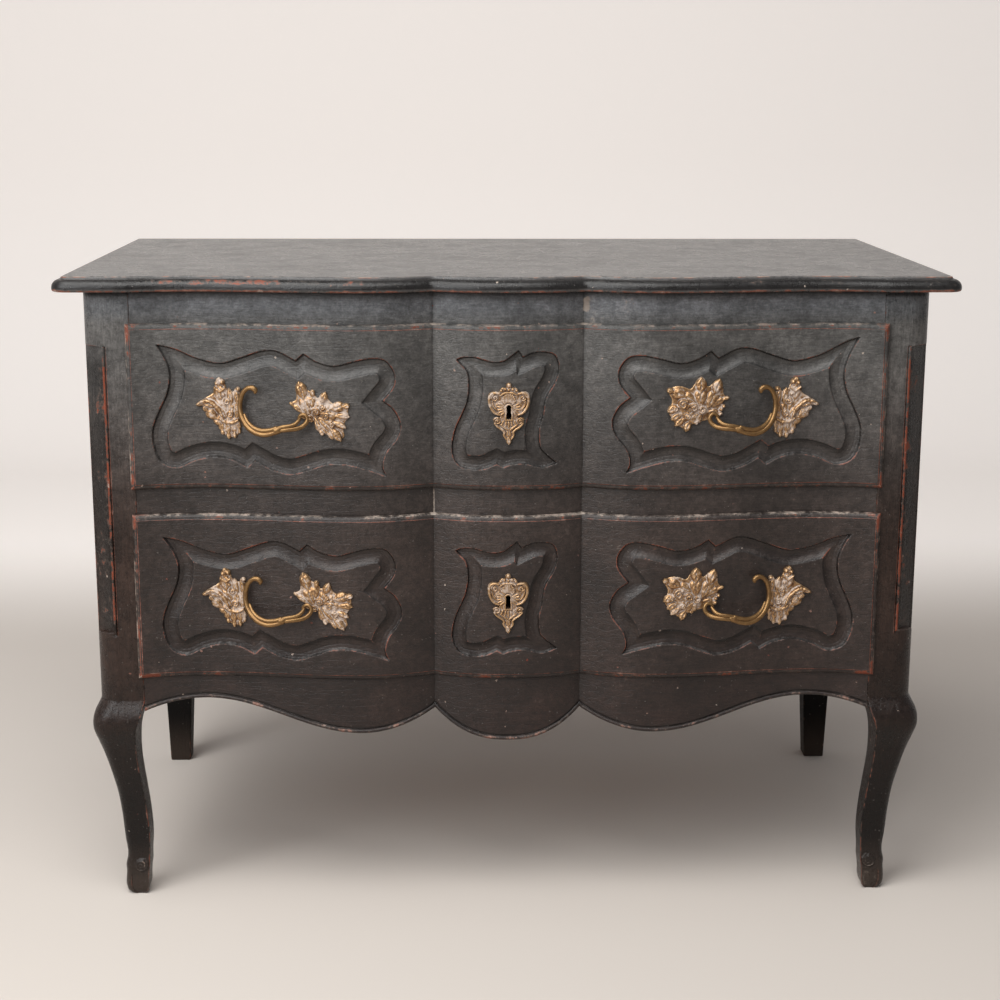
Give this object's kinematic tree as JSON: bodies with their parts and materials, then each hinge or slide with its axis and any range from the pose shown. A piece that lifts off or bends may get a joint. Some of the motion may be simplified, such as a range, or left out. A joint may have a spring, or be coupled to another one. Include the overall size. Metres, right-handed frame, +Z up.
{
  "type": "commode chest of drawers",
  "caption": "Crossbow-fronted commode chest with two lipped drawers on runners, locks with sliding bolts, cast handles and curved front legs.",
  "frame": {"origin": "on the floor under the middle of the chest's box", "axes": "+X to the right as seen from the front, +Y from the front to the back, +Z up"},
  "size_m": [1.2, 0.636, 0.88],
  "materials": {
    "black_paint": "worn satin black paint over a red ground on wood",
    "case_wood": "unpainted planed pine, darkened with age",
    "drawer_wood": "unpainted planed beech",
    "gilt_brass": "cast brass with worn gilding and pale patina",
    "lock_iron": "wrought iron with brown oxide"
  },
  "bodies": {
    "case": {"top_front_board": "black_paint", "top_rear_board": "black_paint", "front_post_left": "black_paint", "front_post_right": "black_paint", "rear_post_left": "black_paint", "rear_post_right": "black_paint", "front_top_rail": "black_paint", "front_middle_rail": "black_paint", "front_apron": "black_paint", "side_top_rail_left": "black_paint", "side_top_rail_right": "black_paint", "side_bottom_rail_left": "black_paint", "side_bottom_rail_right": "black_paint", "side_panel_left": "black_paint", "side_panel_right": "black_paint", "peg_top_upper_left": "black_paint", "peg_top_upper_right": "black_paint", "peg_top_lower_left": "black_paint", "peg_top_lower_right": "black_paint", "peg_bottom_left": "black_paint", "peg_bottom_right": "black_paint", "back_top_rail": "case_wood", "back_bottom_rail": "case_wood", "back_board_1": "case_wood", "back_board_2": "case_wood", "back_board_3": "case_wood", "upper_runner_left": "case_wood", "upper_runner_right": "case_wood", "lower_runner_left": "case_wood", "lower_runner_right": "case_wood", "upper_kicker_left": "case_wood", "upper_kicker_right": "case_wood"},
    "upper_drawer": {"upper_drawer_front": "black_paint", "upper_drawer_side_left": "drawer_wood", "upper_drawer_side_right": "drawer_wood", "upper_drawer_back": "drawer_wood", "upper_drawer_bottom": "drawer_wood", "upper_lock_case": "lock_iron", "upper_escutcheon": "gilt_brass", "upper_handle_left": "gilt_brass", "upper_handle_right": "gilt_brass", "upper_handle_nut_1": "lock_iron", "upper_handle_nut_2": "lock_iron", "upper_handle_nut_3": "lock_iron", "upper_handle_nut_4": "lock_iron"},
    "lower_drawer": {"lower_drawer_front": "black_paint", "lower_drawer_side_left": "drawer_wood", "lower_drawer_side_right": "drawer_wood", "lower_drawer_back": "drawer_wood", "lower_drawer_bottom": "drawer_wood", "lower_lock_case": "lock_iron", "lower_escutcheon": "gilt_brass", "lower_handle_left": "gilt_brass", "lower_handle_right": "gilt_brass", "lower_handle_nut_1": "lock_iron", "lower_handle_nut_2": "lock_iron", "lower_handle_nut_3": "lock_iron", "lower_handle_nut_4": "lock_iron"},
    "upper_lock_bolt": {"upper_lock_bolt": "lock_iron"},
    "lower_lock_bolt": {"lower_lock_bolt": "lock_iron"}
  },
  "joints": [
    {"name": "upper_drawer_slide", "type": "slide", "parent": "case", "child": "upper_drawer", "axis": [0, -1, 0], "range_m": [0, 0.4]},
    {"name": "lower_drawer_slide", "type": "slide", "parent": "case", "child": "lower_drawer", "axis": [0, -1, 0], "range_m": [0, 0.4]},
    {"name": "upper_bolt_slide", "type": "slide", "parent": "upper_drawer", "child": "upper_lock_bolt", "axis": [0, 0, 1], "range_m": [0, 0.009]},
    {"name": "lower_bolt_slide", "type": "slide", "parent": "lower_drawer", "child": "lower_lock_bolt", "axis": [0, 0, 1], "range_m": [0, 0.009]}
  ]
}
